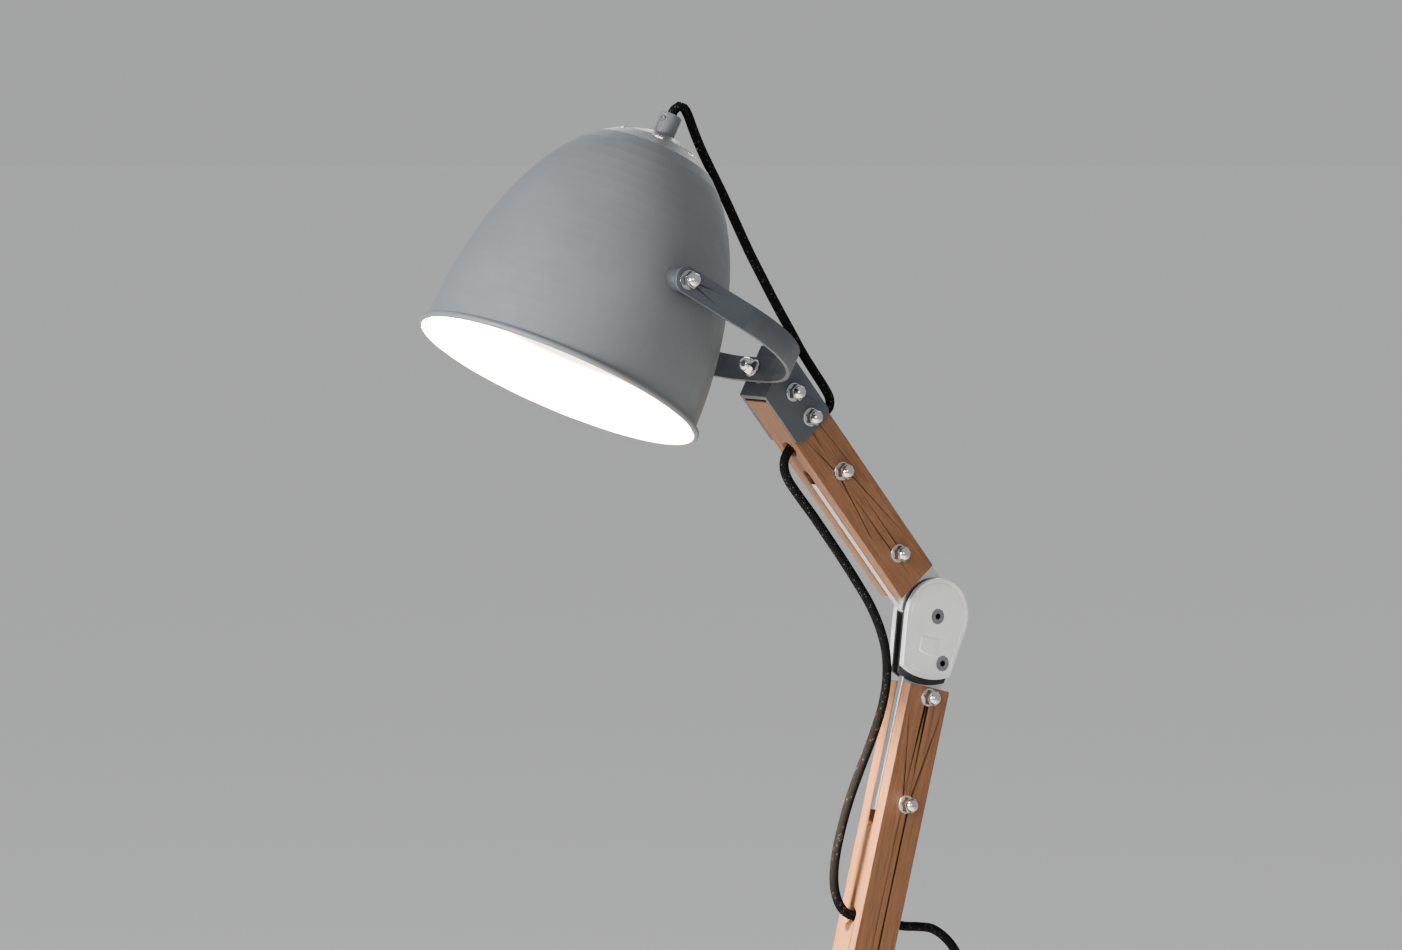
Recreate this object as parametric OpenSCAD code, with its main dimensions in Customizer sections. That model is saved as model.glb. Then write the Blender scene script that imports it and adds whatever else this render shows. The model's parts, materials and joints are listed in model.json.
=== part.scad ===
// Adjustable arm floor lamp: weighted round base, two slotted wooden arms with
// plate hinges, a folded head bracket, a swivelling strap yoke and a metal shade.
// Millimetres. +Z is up, the floor is z = 0 and the base is centred on the origin.
// The arms lie in the XZ plane; the shade hangs on the -X side.

/* [Base] */
// Outer diameter of the base cover
base_d = 280; // [240:2:320]
// Height of the top of the base cover above the floor
base_h = 23; // [21:0.5:26]
// Height of the base hinge axis above the floor
base_hinge_h = 80; // [78:1:95]

/* [Arms] */
// Width of both wooden arms, in the plane of the lamp
arm_w = 35; // [34:0.5:36]
// Thickness of both wooden arms
arm_t = 25; // [24:0.5:28]
// Distance from the base hinge to the elbow, along the lower arm
lower_len = 1090; // [900:5:1150]
// Lean of the lower arm from the vertical
lower_lean = 14.7; // [12:0.1:16]
// Lean of the upper arm from the vertical, the other way
upper_lean = 39.1; // [38:0.1:41]
// Where the wood of the upper arm ends, from the elbow
upper_wood_end = 213.5; // [213:0.5:214.5]
// Diameter of the hole that takes the cord through an arm
cord_hole_d = 9; // [8.6:0.1:10]

/* [Hinges] */
// Thickness of a cheek plate
cheek_t = 4; // [3.5:0.5:4.5]
// Radius of the round top of a cheek plate
cheek_r = 26.5; // [26:0.5:28]
// Thickness of a friction plate
friction_t = 2; // [1.5:0.5:2.5]
// Thickness of the steel tongues
tongue_t = 5; // [4.5:0.5:5]

/* [Shade] */
// Radius of the shade at its rolled rim
shade_rim_r = 100; // [98:0.5:102]
// Height of the shade from rim to crown
shade_h = 178.5; // [176:0.5:182]
// Lean of the shade's axis from the vertical
shade_lean = 27.3; // [20:0.1:35]
// Height of the tilt axis above the rim
pivot_h = 76; // [74:1:78]

/* [Yoke] */
// Width of the yoke strap
strap_w = 17.5; // [16:0.5:18]
// Distance from the tilt axis to the face of the bracket
yoke_reach = 145.5; // [145:0.5:147]
// Half of the yoke's outer width
yoke_half = 101; // [100.5:0.1:101.5]
// Slope of the swivel axis below the horizontal
yoke_lean = 28.3; // [26:0.1:30]

/* [Cord] */
// Diameter of the braided cord
cord_d = 6.5; // [6:0.1:6.8]

/* [Hidden] */
$fn = 48;

// Clearances: a running fit, and the gap that keeps two loose surfaces apart
run_gap = 0.05;
loose_gap = 0.3;
cut = 1;                       // how far a cutting solid passes the surface it cuts

// Fasteners (M6)
bolt_r = 3;
nut_af = 10;
nut_h = 5.5;
nut_dome_r = 4.7;
nut_bore = 8;
washer_r = 6.3;
washer_t = 1.5;
bolt_head_h = 4;
csk_r = 5.5;                   // countersunk head
csk_h = 2.5;

// Base
pad_t = 3;
pad_r = base_d / 2 - 12;
cover_wall = 2;
cover_clear = 1.5;
cover_corner = 10;
cover_slope = 12;
weight_r = base_d / 2 - 6;
post_flange_r = 34;
post_flange_t = 4;
post_screw_pcd = 48;

// Wooden arms
arm_offset = 3.2;              // the lower arm's centre line, behind the elbow axis
lower_wood_start = 33;
lower_wood_end = lower_len - 49.5;
upper_wood_start = 33;
slot_w = tongue_t + 1;
slot_foot = 117;               // slot length at the foot of the lower arm and of the upper arm
slot_head = 102;               // slot length at the head of the lower arm
foot_bolts = [60, 136];        // from the hinge below
head_bolts = [56.5, 132.5];    // from the elbow, down the lower arm
lower_cord_s = 215.5;          // cord hole, from the elbow down the lower arm
upper_cord_s = 170;            // cord hole, from the elbow up the upper arm
plate_bolts = [183.5, 206];    // head bracket bolts, from the elbow
plate_bolt_q = 2;
plate_start = 173.5;
plate_t = 3;

// Hinge stack, from the middle plane outwards
gap_half = tongue_t / 2 + friction_t;
cheek_face = gap_half + cheek_t;
cheek_taper = 8.5;
rim_line = 2.6;                // engraved line round a cheek, in from its edge
rim_line_depth = 0.3;
cheek_foot_r = 44.3;
friction_foot_r = 48.5;
eye_r = 21.5;
fix_s = 31.1;                  // fixing screw, below the hinge axis and behind it
fix_q = 12.5;

// Yoke
strap_t = 3;
yoke_bend = 86;
web_s = 224.9;                 // middle of the bracket's web, in the upper arm's frame
web_q = -2;
swivel_washer_t = 4.8;
strap_depth = yoke_reach - swivel_washer_t;

// Shade
shell_t = 1.2;
dome_r = 96;
bead_r = 2;
shade_steps = 22;
neck_r = 7.5;
neck_h = 14;
vent_ring_r = 31;
vent_d = 8;
spacer_r = 8;
spacer_face = yoke_half - strap_t - 0.1;
holder_top = shade_h - 4;

// Elbow position, from the base hinge
lower_dir = [sin(lower_lean), cos(lower_lean)];
elbow_x = lower_len * lower_dir[0] - arm_offset * lower_dir[1];
elbow_z = base_hinge_h + lower_len * lower_dir[1] + arm_offset * lower_dir[0];
// Middle of the bracket's web, and the tilt axis of the shade
web_x = elbow_x - web_s * sin(upper_lean) + web_q * cos(upper_lean);
web_z = elbow_z + web_s * cos(upper_lean) + web_q * sin(upper_lean);
pivot_x = web_x - yoke_reach * cos(yoke_lean);
pivot_z = web_z + yoke_reach * sin(yoke_lean);
web_slope = 90 - upper_lean - yoke_lean;

// Foot switch, coil and plug on the floor
switch_at = [205, 117];
switch_turn = 135;
switch_len = 78;
switch_w = 34;
switch_h = 20;
switch_split = 9;
switch_wall = 2;
button_r = 11;
relief_len = 22;
relief_r = 4.6;
relief_root = 3.4;             // how far a strain relief starts inside the housing
cord_entry_h = 9.5;
coil_at = [82, 180];
coil_in = 26;
coil_out = 46;
coil_h = 13.4;
plug_at = [8, 210.5];
plug_turn = 190;
plug_len = 36;
plug_w = 35;
plug_t = 14;
plug_relief_len = 24;

// Route of the cord from the neck over the yoke, then on to the upper arm: [x, z] from the elbow axis
route_shade = [
  [-220.6, 340.8], [-217.2, 347.4], [-214.6, 351.6], [-211, 354], [-207, 352.8],
  [-204, 348.6], [-200.8, 341.5], [-196.5, 332], [-191, 321.5], [-184, 309.5],
  [-176, 296], [-165.5, 277], [-154.5, 257], [-143, 238], [-131.5, 219.5],
  [-120, 202]
];
route_head = [
  [-119.9, 201.85], [-109, 185.3], [-99, 172], [-91.4, 162], [-87, 154.5],
  [-87.2, 148.8], [-92, 144.3], [-99.4, 138.2], [-107.2, 131.9]
];
// Route from the upper arm to the lower arm
route_elbow = [
  [-107.2, 131.9], [-115, 125.6], [-121, 120.2], [-124.5, 114.5], [-124.8, 107.5],
  [-121.5, 100], [-112.5, 88.5], [-101, 75], [-89, 60], [-76, 43.5],
  [-63, 26], [-52, 10], [-43.5, -7], [-38.5, -24], [-38, -43],
  [-42, -62], [-50, -82], [-60, -103], [-69, -123], [-76, -143],
  [-80.5, -160], [-82.5, -175], [-81.5, -187], [-77.5, -197], [-71.5, -203.3],
  [-64.4, -205.9], [-54.7, -208.4]
];
// Route from the lower arm down to the floor and the switch: [x, y, z] from the elbow axis
route_drop = [
  [-54.7, 0, -208.4], [-45, 0, -210.9], [-35.3, 0, -213.5], [-22, 0, -217], [-10, 0, -218.5],
  [2, 0, -221], [13, 0, -228], [22, 0, -238], [29, 0, -252], [33, 0, -268],
  [35, 0, -290], [36, 0, -330], [36.5, 0, -430], [37, 0, -620], [37, 0, -860],
  [37, 0, -1030], [37, 0.5, -1068], [36, 3, -1092], [33, 8.5, -1109], [27.5, 16.5, -1121.5],
  [19.5, 27, -1128.5], [9.5, 38, -1131], [-1, 49, -1131], [-12, 60, -1129.4], [-25, 73, -1125.6]
];

function shell_r(h) = dome_r * pow(max(0, 1 - pow(h / shade_h, 2)), 0.455);
function unit(v) = v / norm(v);
function tangent(p, i) =
  let(a = max(i - 1, 0), b = min(i + 1, len(p) - 1)) unit(p[b] - p[a]);
function carry(p, i, n) =
  let(t = tangent(p, i), m = unit(n - (n * t) * t))
  i == len(p) - 1 ? [m] : concat([m], carry(p, i + 1, m));

// Tube of n sides swept along the points p; the first normal is taken from start
module tube(p, r, n = 10, start = [0, 1, 0.01]) {
  normals = carry(p, 0, start);
  rings = [for (i = [0 : len(p) - 1])
    let(t = tangent(p, i), u = normals[i], v = cross(t, u))
    [for (k = [0 : n - 1]) p[i] + r * (cos(360 * k / n) * u + sin(360 * k / n) * v)]];
  points = [for (ring = rings) each ring];
  last = n * (len(p) - 1);
  walls = [for (i = [0 : len(p) - 2], k = [0 : n - 1])
    [i * n + k, (i + 1) * n + k, (i + 1) * n + (k + 1) % n, i * n + (k + 1) % n]];
  polyhedron(points, concat(walls, [[for (k = [0 : n - 1]) k]],
    [[for (k = [n - 1 : -1 : 0]) last + k]]), convexity = 6);
}

// Frames
module at_lower() { translate([0, 0, base_hinge_h]) rotate([0, lower_lean, 0]) children(); }
module at_elbow() { translate([elbow_x, 0, elbow_z]) children(); }
module at_elbow_plates() { at_elbow() rotate([0, lower_lean, 0]) children(); }
module at_upper() { at_elbow() rotate([0, -upper_lean, 0]) children(); }
module at_yoke() { translate([pivot_x, 0, pivot_z]) rotate([0, yoke_lean, 0]) children(); }
module at_shade() {
  translate([pivot_x, 0, pivot_z]) rotate([0, shade_lean, 0]) translate([0, 0, -pivot_h]) children();
}
// Turns a shape drawn in the XY plane into a plate across Y, from y to y + t
module plate(y, t) { translate([0, y + t, 0]) rotate([90, 0, 0]) linear_extrude(t) children(); }
// A cylinder along +Y, from y over a length l
module along_y(y, l, r, n = 48) { translate([0, y, 0]) rotate([-90, 0, 0]) cylinder(h = l, r = r, $fn = n); }
// A cylinder along +X, from x over a length l
module along_x(x, l, r) { translate([x, 0, 0]) rotate([0, 90, 0]) cylinder(h = l, r = r); }

// Domed cap nut, with its seat at z = 0
module cap_nut() {
  difference() {
    union() {
      cylinder(h = nut_h, r = nut_af / 2 / cos(30), $fn = 6);
      translate([0, 0, nut_h]) sphere(r = nut_dome_r);
    }
    translate([0, 0, -cut]) cylinder(h = nut_bore + cut, r = bolt_r + run_gap);
    translate([0, 0, -2 * nut_af]) cube([4 * nut_af, 4 * nut_af, 4 * nut_af], center = true);
  }
}
module near_nut(y) { translate([0, -y, 0]) rotate([90, 0, 0]) cap_nut(); }
module far_nut(y) { translate([0, y, 0]) rotate([-90, 0, 0]) cap_nut(); }

// Bolt along Y with its hex head on the far side and its end in a near cap nut
module through_bolt(near, far) {
  along_y(far, bolt_head_h, nut_af / 2 / cos(30), 6);
  along_y(-near - nut_bore + cut, near + nut_bore - cut + far + cut, bolt_r);
}
module washer_pair(near, far) {
  for (y = [-near - washer_t, far])
    difference() {
      along_y(y, washer_t, washer_r);
      along_y(y - cut, washer_t + 2 * cut, bolt_r + run_gap);
    }
}
// Countersunk screw from the near cheek through to a cap nut on the far one
module hinge_screw() {
  difference() {
    union() {
      translate([0, -cheek_face, 0]) rotate([-90, 0, 0]) cylinder(h = csk_h, r1 = csk_r, r2 = bolt_r);
      along_y(-cheek_face + csk_h - 0.2, 2 * cheek_face - csk_h + 0.2 + nut_bore - cut, bolt_r);
    }
    along_y(-cheek_face - cut, 2.2 + cut, 2.3, 6);
  }
}
module csk_hole() {
  translate([0, -cheek_face - 0.02, 0]) rotate([-90, 0, 0])
    cylinder(h = csk_h + 0.02, r1 = csk_r + 0.05, r2 = bolt_r + run_gap);
}

// Outline of a hinge plate: a round top about the hinge axis, tapering to a foot arc
module hinge_outline(top_r, foot_r) {
  tx = top_r * cos(cheek_taper);
  tz = -top_r * sin(cheek_taper);
  fall = 60;
  circle(r = top_r, $fn = 96);
  intersection() {
    circle(r = foot_r, $fn = 128);
    polygon([[-tx, tz], [tx, tz], [tx - fall * tan(cheek_taper), tz - fall],
      [-tx + fall * tan(cheek_taper), tz - fall]]);
  }
}

// A hinge's parts, about the hinge axis, with the fixed arm below
module cheek(side) {
  difference() {
    union() {
      plate(side < 0 ? -cheek_face : gap_half, cheek_t) hinge_outline(cheek_r, cheek_foot_r);
      if (side < 0)
        plate(-cheek_face - 0.5, 0.5 + cut) intersection() {
          circle(r = 27.3, $fn = 96);
          translate([-10, -28]) square([14, 12]);
        }
    }
    along_y(-cheek_face - cut, 2 * cheek_face + 2 * cut, bolt_r + run_gap);
    translate([fix_q, 0, -fix_s]) along_y(-cheek_face - cut, 2 * cheek_face + 2 * cut, bolt_r + run_gap);
    plate(side < 0 ? -cheek_face - cut : cheek_face - rim_line_depth, rim_line_depth + cut) difference() {
      hinge_outline(cheek_r - rim_line, cheek_foot_r - rim_line);
      hinge_outline(cheek_r - rim_line - 0.6, cheek_foot_r - rim_line - 0.6);
    }
    if (side < 0) {
      csk_hole();
      translate([fix_q, 0, -fix_s]) csk_hole();
    }
  }
}
module friction_plate(side) {
  difference() {
    plate(side < 0 ? -gap_half : tongue_t / 2, friction_t) hinge_outline(cheek_r, friction_foot_r);
    along_y(-cheek_face, 2 * cheek_face, bolt_r + run_gap);
    translate([fix_q, 0, -fix_s]) along_y(-cheek_face, 2 * cheek_face, bolt_r + run_gap);
  }
}
module hinge_screws() {
  hinge_screw();
  translate([fix_q, 0, -fix_s]) hinge_screw();
}
module hinge_nuts() {
  far_nut(cheek_face);
  translate([fix_q, 0, -fix_s]) far_nut(cheek_face);
}
// Fixed tongue below a hinge, from z_low up to a hollow that clears the moving eye
module fixed_tongue(x_low, x_high, z_low) {
  difference() {
    plate(-tongue_t / 2, tongue_t) difference() {
      intersection() {
        translate([x_low, z_low]) square([x_high - x_low, -z_low]);
        union() {
          translate([-200, z_low - cut]) square([400, -z_low - 40]);
          circle(r = 47, $fn = 96);
        }
      }
      circle(r = eye_r + 1.5, $fn = 96);
      translate([-60, -25]) square([120, 40]);
    }
    translate([fix_q, 0, -fix_s]) along_y(-tongue_t, 2 * tongue_t, bolt_r + run_gap);
  }
}
// Moving tongue above a hinge, with its eye on the axis and its end in the arm's slot
module moving_tongue(z_end, bolts) {
  t = tongue_t - 0.1;
  difference() {
    plate(-t / 2, t) {
      circle(r = eye_r, $fn = 96);
      translate([-arm_w / 2, 0]) square([arm_w / 2 + eye_r, 30]);
      translate([-arm_w / 2, 29]) square([arm_w, z_end - 29]);
    }
    along_y(-t, 2 * t, bolt_r + run_gap);
    for (z = bolts) translate([0, 0, z]) along_y(-t, 2 * t, bolt_r + run_gap);
  }
}
module arm_blank(x, z0, z1) {
  translate([x - arm_w / 2, -arm_t / 2, z0]) cube([arm_w, arm_t, z1 - z0]);
}
// Slot open at one end, round at the other, across the arm's width
module arm_slot(z_open, z_closed) {
  dir = sign(z_closed - z_open);
  low = min(z_open - dir * cut, z_closed - dir * slot_w / 2);
  high = max(z_open - dir * cut, z_closed - dir * slot_w / 2);
  translate([-arm_w, -slot_w / 2, low]) cube([2 * arm_w, slot_w, high - low]);
  translate([-arm_w, 0, z_closed - dir * slot_w / 2]) rotate([0, 90, 0]) cylinder(h = 2 * arm_w, r = slot_w / 2);
}
// Cord hole through an arm, with a small countersink at each mouth
module cord_hole(z) {
  for (m = [0, 1]) mirror([m, 0, 0]) translate([arm_w / 2 - 3, 0, z]) rotate([0, 90, 0])
    cylinder(h = 3.01, r1 = cord_hole_d / 2, r2 = cord_hole_d / 2 + 2);
  translate([0, 0, z]) along_x(-arm_w, 2 * arm_w, cord_hole_d / 2);
}

// Base
module base_pad() {
  color("#1c1c1c") cylinder(h = pad_t, r = pad_r, $fn = 96);
}
module base_weight() {
  rim_h = base_h - cover_wall - pad_t - cover_slope;
  color("#3c3c3e") difference() {
    translate([0, 0, pad_t]) {
      cylinder(h = rim_h, r = weight_r, $fn = 128);
      translate([0, 0, rim_h]) cylinder(h = cover_slope, r1 = weight_r, r2 = weight_r - cover_slope, $fn = 128);
    }
    for (a = [0 : 120 : 359]) rotate([0, 0, a + 30]) translate([post_screw_pcd / 2, 0, pad_t + 6])
      cylinder(h = base_h, r = 2.5 + run_gap);
  }
}
module base_cover() {
  r = base_d / 2;
  inner = weight_r + loose_gap;
  color("#5b6065") difference() {
    rotate_extrude($fn = 160) difference() {
      union() {
        translate([0, cover_clear]) square([r, base_h - cover_clear - cover_corner]);
        translate([0, cover_clear]) square([r - cover_corner, base_h - cover_clear]);
        translate([r - cover_corner, base_h - cover_corner]) circle(r = cover_corner);
      }
      polygon([[-cut, -cut], [inner, -cut], [inner, base_h - cover_wall - cover_slope],
        [inner - cover_slope, base_h - cover_wall], [-cut, base_h - cover_wall]]);
    }
    for (a = [0 : 120 : 359]) rotate([0, 0, a + 30]) translate([post_screw_pcd / 2, 0, 0])
      cylinder(h = 2 * base_h, r = 2.8);
  }
}
module base_post() {
  top = base_hinge_h - base_h - post_flange_t;
  color("#5b6065") {
    difference() {
      translate([0, 0, base_h]) cylinder(h = post_flange_t, r = post_flange_r, $fn = 96);
      for (a = [0 : 120 : 359]) rotate([0, 0, a + 30]) translate([post_screw_pcd / 2, 0, base_h - cut])
        cylinder(h = post_flange_t + 2 * cut, r = 2.8);
    }
    translate([0, 0, base_hinge_h]) fixed_tongue(-17.5, 20.5, -top);
  }
}
module base_post_screws() {
  z = base_h + post_flange_t;
  color("#c9c9c7") for (a = [0 : 120 : 359]) rotate([0, 0, a + 30]) translate([post_screw_pcd / 2, 0, 0])
    difference() {
      union() {
        translate([0, 0, z]) cylinder(h = 3, r = 4.6);
        translate([0, 0, pad_t + 8]) cylinder(h = z - pad_t - 7.5, r = 2.5);
      }
      translate([0, 0, z + 1]) cylinder(h = 3, r = 1.8, $fn = 6);
    }
}
module at_base_hinge() { translate([0, 0, base_hinge_h]) children(); }
module base_cheek_near() { color("#c4c6c8") at_base_hinge() cheek(-1); }
module base_cheek_far() { color("#c4c6c8") at_base_hinge() cheek(1); }
module base_friction_near() { color("#161616") at_base_hinge() friction_plate(-1); }
module base_friction_far() { color("#161616") at_base_hinge() friction_plate(1); }
module base_hinge_screws() { color("#d8d8d6") at_base_hinge() hinge_screws(); }
module base_hinge_nuts() { color("#d8d8d6") at_base_hinge() hinge_nuts(); }

// Lower arm
module at_head() { at_lower() translate([0, 0, lower_len]) children(); }
module lower_bolt_places() {
  at_lower() for (z = foot_bolts) translate([0, 0, z]) children();
  at_head() for (z = head_bolts) translate([0, 0, -z]) children();
}
module lower_arm_wood() {
  color("#8a6044") difference() {
    at_lower() arm_blank(0, lower_wood_start, lower_wood_end);
    at_lower() arm_slot(lower_wood_start, lower_wood_start + slot_foot);
    at_lower() arm_slot(lower_wood_end, lower_wood_end - slot_head);
    lower_bolt_places() along_y(-arm_t, 2 * arm_t, bolt_r + run_gap);
    at_head() cord_hole(-lower_cord_s);
  }
}
module lower_arm_foot_tongue() {
  color("#cfd1d2") at_lower() moving_tongue(lower_wood_start + slot_foot - 12, foot_bolts);
}
module lower_arm_head_tongue() {
  low = -(lower_len - lower_wood_end + slot_head - 11);
  color("#cfd1d2") difference() {
    at_elbow_plates() fixed_tongue(arm_offset - arm_w / 2, arm_offset + arm_w / 2, low);
    at_head() for (z = head_bolts) translate([0, 0, -z]) along_y(-tongue_t, 2 * tongue_t, bolt_r + run_gap);
  }
}
arm_face = arm_t / 2;
nut_seat = arm_face + washer_t;
module lower_arm_bolts() { color("#d8d8d6") lower_bolt_places() through_bolt(nut_seat, nut_seat); }
module lower_arm_nuts() { color("#e2e2e0") lower_bolt_places() near_nut(nut_seat); }
module lower_arm_washers() { color("#d0d0ce") lower_bolt_places() washer_pair(arm_face, arm_face); }

// Elbow
module elbow_cheek_near() { color("#c4c6c8") at_elbow_plates() cheek(-1); }
module elbow_cheek_far() { color("#c4c6c8") at_elbow_plates() cheek(1); }
module elbow_friction_near() { color("#161616") at_elbow_plates() friction_plate(-1); }
module elbow_friction_far() { color("#161616") at_elbow_plates() friction_plate(1); }
module elbow_screws() { color("#d8d8d6") at_elbow_plates() hinge_screws(); }
module elbow_nuts() { color("#e2e2e0") at_elbow_plates() hinge_nuts(); }

// Upper arm
module upper_arm_wood() {
  color("#8a6044") at_upper() difference() {
    arm_blank(0, upper_wood_start, upper_wood_end);
    arm_slot(upper_wood_start, upper_wood_start + slot_foot);
    for (z = foot_bolts) translate([0, 0, z]) along_y(-arm_t, 2 * arm_t, bolt_r + run_gap);
    for (z = plate_bolts) translate([plate_bolt_q, 0, z]) along_y(-arm_t, 2 * arm_t, bolt_r + run_gap);
    cord_hole(upper_cord_s);
  }
}
module upper_arm_tongue() {
  color("#cfd1d2") at_upper() moving_tongue(upper_wood_start + slot_foot - 12, foot_bolts);
}
plate_seat = arm_face + plate_t + washer_t;
module upper_arm_bolts() {
  color("#d8d8d6") at_upper() {
    for (z = foot_bolts) translate([0, 0, z]) through_bolt(nut_seat, nut_seat);
    for (z = plate_bolts) translate([plate_bolt_q, 0, z]) through_bolt(plate_seat, plate_seat);
  }
}
module upper_arm_nuts() {
  color("#e2e2e0") at_upper() {
    for (z = foot_bolts) translate([0, 0, z]) near_nut(nut_seat);
    for (z = plate_bolts) translate([plate_bolt_q, 0, z]) near_nut(plate_seat);
  }
}
module upper_arm_washers() {
  color("#d0d0ce") at_upper() {
    for (z = foot_bolts) translate([0, 0, z]) washer_pair(arm_face, arm_face);
    for (z = plate_bolts) translate([plate_bolt_q, 0, z])
      washer_pair(arm_face + plate_t, arm_face + plate_t);
  }
}
// Side outline of the folded bracket, in the upper arm's frame; drop lowers the slanted top
module bracket_outline(drop, side) {
  h = arm_w / 2 + side;
  top = web_s - drop / cos(web_slope);
  polygon([[-h, plate_start + 4], [-h + 4, plate_start], [h - 4, plate_start], [h, plate_start + 4],
    [h, top + (h - web_q) * tan(web_slope)], [-h, top + (-h - web_q) * tan(web_slope)]]);
}
module head_bracket() {
  half = arm_face + plate_t;
  color("#62676c") difference() {
    at_upper() difference() {
      plate(-half, 2 * half) bracket_outline(0, 0);
      plate(-arm_face, 2 * arm_face) difference() {
        bracket_outline(plate_t, 2);
        translate([-50, 0]) square([100, 1]);
      }
      translate([-arm_w, -arm_face, plate_start - cut]) cube([2 * arm_w, 2 * arm_face, 20]);
      for (z = plate_bolts) translate([plate_bolt_q, 0, z]) along_y(-2 * half, 4 * half, bolt_r + run_gap);
    }
    at_yoke() along_x(yoke_reach - 20, 60, bolt_r + run_gap);
  }
}
module swivel_bolt() {
  color("#d8d8d6") at_yoke() {
    along_x(yoke_reach + plate_t, 3.5, 5.5);
    along_x(strap_depth - strap_t - washer_t - nut_bore + cut, 24, bolt_r);
  }
}
module swivel_washers() {
  color("#d0d0ce") at_yoke() {
    difference() {
      along_x(strap_depth + 0.05, swivel_washer_t - 0.05, 7.5);
      along_x(strap_depth - cut, swivel_washer_t + 2 * cut, bolt_r + run_gap);
    }
    difference() {
      along_x(strap_depth - strap_t - washer_t, washer_t - 0.05, washer_r);
      along_x(strap_depth - 10, 15, bolt_r + run_gap);
    }
  }
}
module swivel_nut() {
  color("#e2e2e0") at_yoke() translate([strap_depth - strap_t - washer_t, 0, 0]) rotate([0, -90, 0])
    rotate([0, 0, 15]) cap_nut();
}

// Yoke: half of the strap's outline seen along its width, outer or inner side
module yoke_profile(inset) {
  r = yoke_bend - inset;
  half = yoke_half - inset;
  depth = strap_depth - inset;
  translate([0, -half]) square([depth - r, 2 * half]);
  translate([0, -half + r]) square([depth, 2 * (half - r)]);
  for (s = [-1, 1]) translate([depth - r, s * (half - r)]) circle(r = r, $fn = 128);
}
module yoke_strap() {
  color("#62676c") at_yoke() difference() {
    union() {
      translate([0, 0, -strap_w / 2]) linear_extrude(strap_w) difference() {
        yoke_profile(0);
        yoke_profile(strap_t);
        translate([-200, -200]) square([200, 400]);
      }
      for (s = [-1, 1]) along_y(s < 0 ? -yoke_half : yoke_half - strap_t, strap_t, strap_w / 2);
    }
    along_y(-2 * yoke_half, 4 * yoke_half, bolt_r + run_gap);
    along_x(strap_depth - 20, 40, bolt_r + run_gap);
  }
}

// Shade
module shade_profile(inset) {
  step = (shade_h - inset) / shade_steps;
  polygon(concat([[0, -cut]], [[shell_r(0) - inset, -cut]],
    [for (i = [0 : shade_steps - 1]) let(h = step * i) [shell_r(h) - inset, h]],
    [[12, shade_h - inset], [0, shade_h - inset]]));
}
module pivot_holes(r) { translate([0, 0, pivot_h]) along_y(-2 * shade_rim_r, 4 * shade_rim_r, r); }
module shade_shell() {
  color("#6a6f73") at_shade() difference() {
    rotate_extrude($fn = 160) {
      difference() {
        shade_profile(0);
        shade_profile(shell_t);
        translate([-200, -10]) square([400, 10]);
        translate([-200, -10]) square([200, 400]);
      }
      translate([shade_rim_r - bead_r, 0]) circle(r = bead_r + 0.1, $fn = 24);
    }
    pivot_holes(bolt_r + run_gap);
    translate([0, 0, shade_h - 20]) cylinder(h = 40, r = 5 + run_gap);
    for (a = [0 : 45 : 359]) rotate([0, 0, a + 10]) translate([vent_ring_r, 0, shade_h - 40])
      cylinder(h = 60, r = vent_d / 2);
  }
}
module shade_spacers() {
  color("#55595d") at_shade() for (s = [0, 1]) mirror([0, s, 0]) difference() {
    translate([0, 0, pivot_h]) along_y(-spacer_face, 20, spacer_r);
    rotate_extrude($fn = 160) shade_profile(-0.02);
    pivot_holes(bolt_r + run_gap);
  }
}
module shade_pivot_screws() {
  seat = shell_r(pivot_h) - 3;
  color("#d8d8d6") at_shade() translate([0, 0, pivot_h]) for (s = [0, 1]) mirror([0, s, 0]) {
    along_y(-yoke_half - washer_t - nut_bore + cut, yoke_half + washer_t + nut_bore - cut - seat, bolt_r);
    along_y(-seat, 3, 5.5);
  }
}
module shade_pivot_nuts() {
  color("#e2e2e0") at_shade() translate([0, 0, pivot_h]) for (s = [0, 1]) mirror([0, s, 0]) {
    near_nut(yoke_half + washer_t);
    difference() {
      along_y(-yoke_half - washer_t, washer_t - 0.05, washer_r);
      along_y(-2 * yoke_half, 2 * yoke_half, bolt_r + run_gap);
    }
  }
}
module neck_collar() {
  color("#55595d") at_shade() difference() {
    translate([0, 0, shade_h]) cylinder(h = neck_h + 2, r = neck_r);
    translate([0, 0, shade_h - cut]) cylinder(h = 8 + cut, r = 5 + run_gap);
    translate([0, 0, shade_h]) cylinder(h = neck_h + 3, r = cord_d / 2 + 0.1);
    translate([0, 0, shade_h + neck_h - 3]) rotate([0, 0, 200]) along_x(0, 20, 2 + run_gap);
  }
}
module neck_grub_screw() {
  color("#c9c9c7") at_shade() translate([0, 0, shade_h + neck_h - 3]) rotate([0, 0, 200]) difference() {
    along_x(cord_d / 2 + 0.3, neck_r - cord_d / 2 + 0.5, 2);
    translate([neck_r - 0.5, 0, 0]) rotate([0, 90, 0]) cylinder(h = 5, r = 1.1, $fn = 6);
  }
}
module neck_nipple() {
  color("#c8b070") at_shade() difference() {
    union() {
      translate([0, 0, holder_top - 12]) cylinder(h = shade_h + 8 - holder_top + 12, r = 5);
      translate([0, 0, shade_h - shell_t - 2.8]) cylinder(h = 2.8, r = 8, $fn = 6);
    }
    translate([0, 0, 0]) cylinder(h = 2 * shade_h, r = cord_d / 2 + 0.3);
  }
}
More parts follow.
